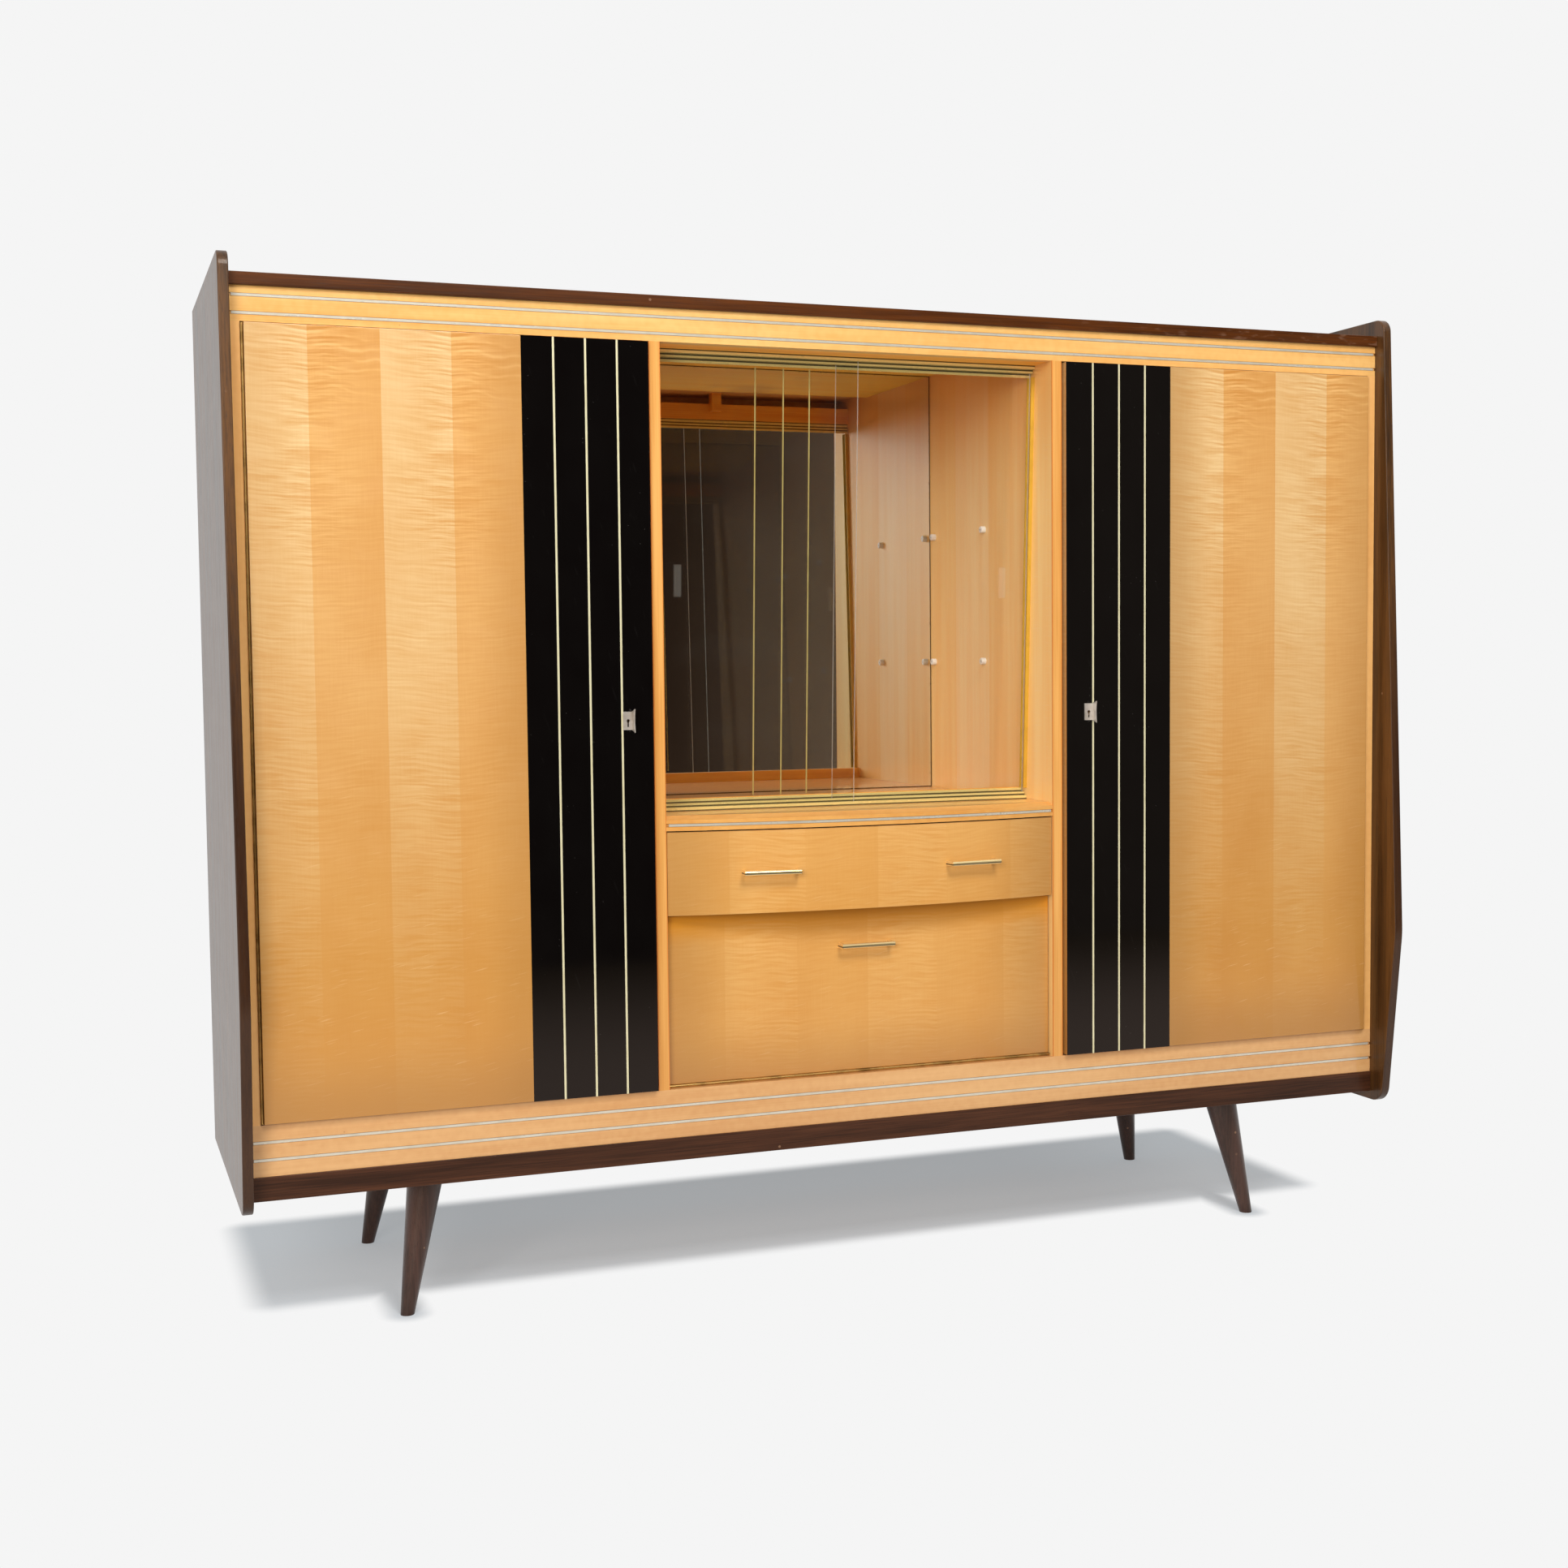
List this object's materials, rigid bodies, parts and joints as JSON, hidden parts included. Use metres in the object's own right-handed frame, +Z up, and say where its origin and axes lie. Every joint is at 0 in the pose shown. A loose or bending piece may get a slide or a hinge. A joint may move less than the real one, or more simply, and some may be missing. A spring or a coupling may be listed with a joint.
{
  "type": "bar cabinet",
  "caption": "Free-standing bar cabinet with hinged doors, mirrored display behind sliding glass, bowed drawer, drop flap and splayed tapered legs.",
  "frame": {"origin": "centre of the cabinet's outline on the floor", "axes": "+X to the right seen from the front, +Y to the back, +Z up"},
  "size_m": [1.882, 0.536, 1.497],
  "materials": {
    "veneer": "figured veneer under gloss lacquer",
    "dark_wood": "dark stained, satin lacquer",
    "inner_wood": "plain, satin",
    "back_board": "raw board",
    "black_lacquer": "high gloss",
    "brass": "polished, a little aged",
    "nickel": "worn nickel plating",
    "lock_steel": "plain steel",
    "glass": "clear, polished edges",
    "mirror": "silvered glass",
    "white_plastic": "satin"
  },
  "bodies": {
    "cabinet": {"gable_left": "dark_wood", "gable_right": "dark_wood", "top_board": "dark_wood", "top_rail": "veneer", "bottom_rail": "veneer", "rail_inlays": "brass", "display_floor": "veneer", "floor_panel": "inner_wood", "hinge_stiles": "veneer", "partition_left": "veneer", "partition_right": "veneer", "back_panels": "back_board", "base_apron": "dark_wood", "base_frame": "inner_wood", "leg_front_left": "dark_wood", "leg_front_right": "dark_wood", "leg_back_left": "dark_wood", "leg_back_right": "dark_wood", "leg_bolts": "lock_steel", "hinge_frame_leaves": "brass", "hinge_pins": "brass", "stay_guides": "brass", "drawer_shelf": "inner_wood", "drawer_runners": "inner_wood", "mirror": "mirror", "display_ceiling": "inner_wood", "display_header": "inner_wood", "display_curb": "inner_wood", "track_top": "brass", "track_bottom": "brass", "glass_channels": "brass", "shelf_studs": "white_plastic", "side_shelves": "inner_wood", "shelf_pegs": "lock_steel"},
    "left_door": {"door_left": "veneer", "door_left_black_panel": "black_lacquer", "door_left_lines": "brass", "hinge_left_door_leaf": "brass", "escutcheon_left": "nickel", "lock_left": "lock_steel"},
    "right_door": {"door_right": "veneer", "door_right_black_panel": "black_lacquer", "door_right_lines": "brass", "hinge_right_door_leaf": "brass", "escutcheon_right": "nickel", "lock_right": "lock_steel"},
    "left_bolt": {"lock_bolt_left": "lock_steel"},
    "right_bolt": {"lock_bolt_right": "lock_steel"},
    "drawer": {"drawer_front": "veneer", "drawer_box": "inner_wood", "drawer_handles": "brass"},
    "flap": {"flap": "veneer", "flap_handle": "brass", "flap_stays": "brass", "flap_hinge_leaf": "brass"},
    "left_pane": {"glass_pane_left": "glass", "pane_lines": "brass"},
    "right_pane": {"glass_pane_right": "glass"}
  },
  "joints": [
    {"name": "left_door_hinge", "type": "hinge", "parent": "cabinet", "child": "left_door", "pos_m": [-0.9094, -0.204, 0.8545], "axis": [0, 0, -1], "range_deg": [0, 95]},
    {"name": "right_door_hinge", "type": "hinge", "parent": "cabinet", "child": "right_door", "pos_m": [0.9094, -0.204, 0.8545], "axis": [0, 0, 1], "range_deg": [0, 95]},
    {"name": "left_bolt_slide", "type": "slide", "parent": "left_door", "child": "left_bolt", "axis": [1, 0, 0], "range_m": [0, 0.01]},
    {"name": "right_bolt_slide", "type": "slide", "parent": "right_door", "child": "right_bolt", "axis": [-1, 0, 0], "range_m": [0, 0.01]},
    {"name": "drawer_slide", "type": "slide", "parent": "cabinet", "child": "drawer", "axis": [0, -1, 0], "range_m": [0, 0.3]},
    {"name": "flap_hinge", "type": "hinge", "parent": "cabinet", "child": "flap", "pos_m": [0, -0.1904, 0.3061], "axis": [1, 0, 0], "range_deg": [0, 90]},
    {"name": "left_pane_slide", "type": "slide", "parent": "cabinet", "child": "left_pane", "axis": [1, 0, 0], "range_m": [0, 0.295]},
    {"name": "right_pane_slide", "type": "slide", "parent": "cabinet", "child": "right_pane", "axis": [-1, 0, 0], "range_m": [0, 0.295]}
  ]
}
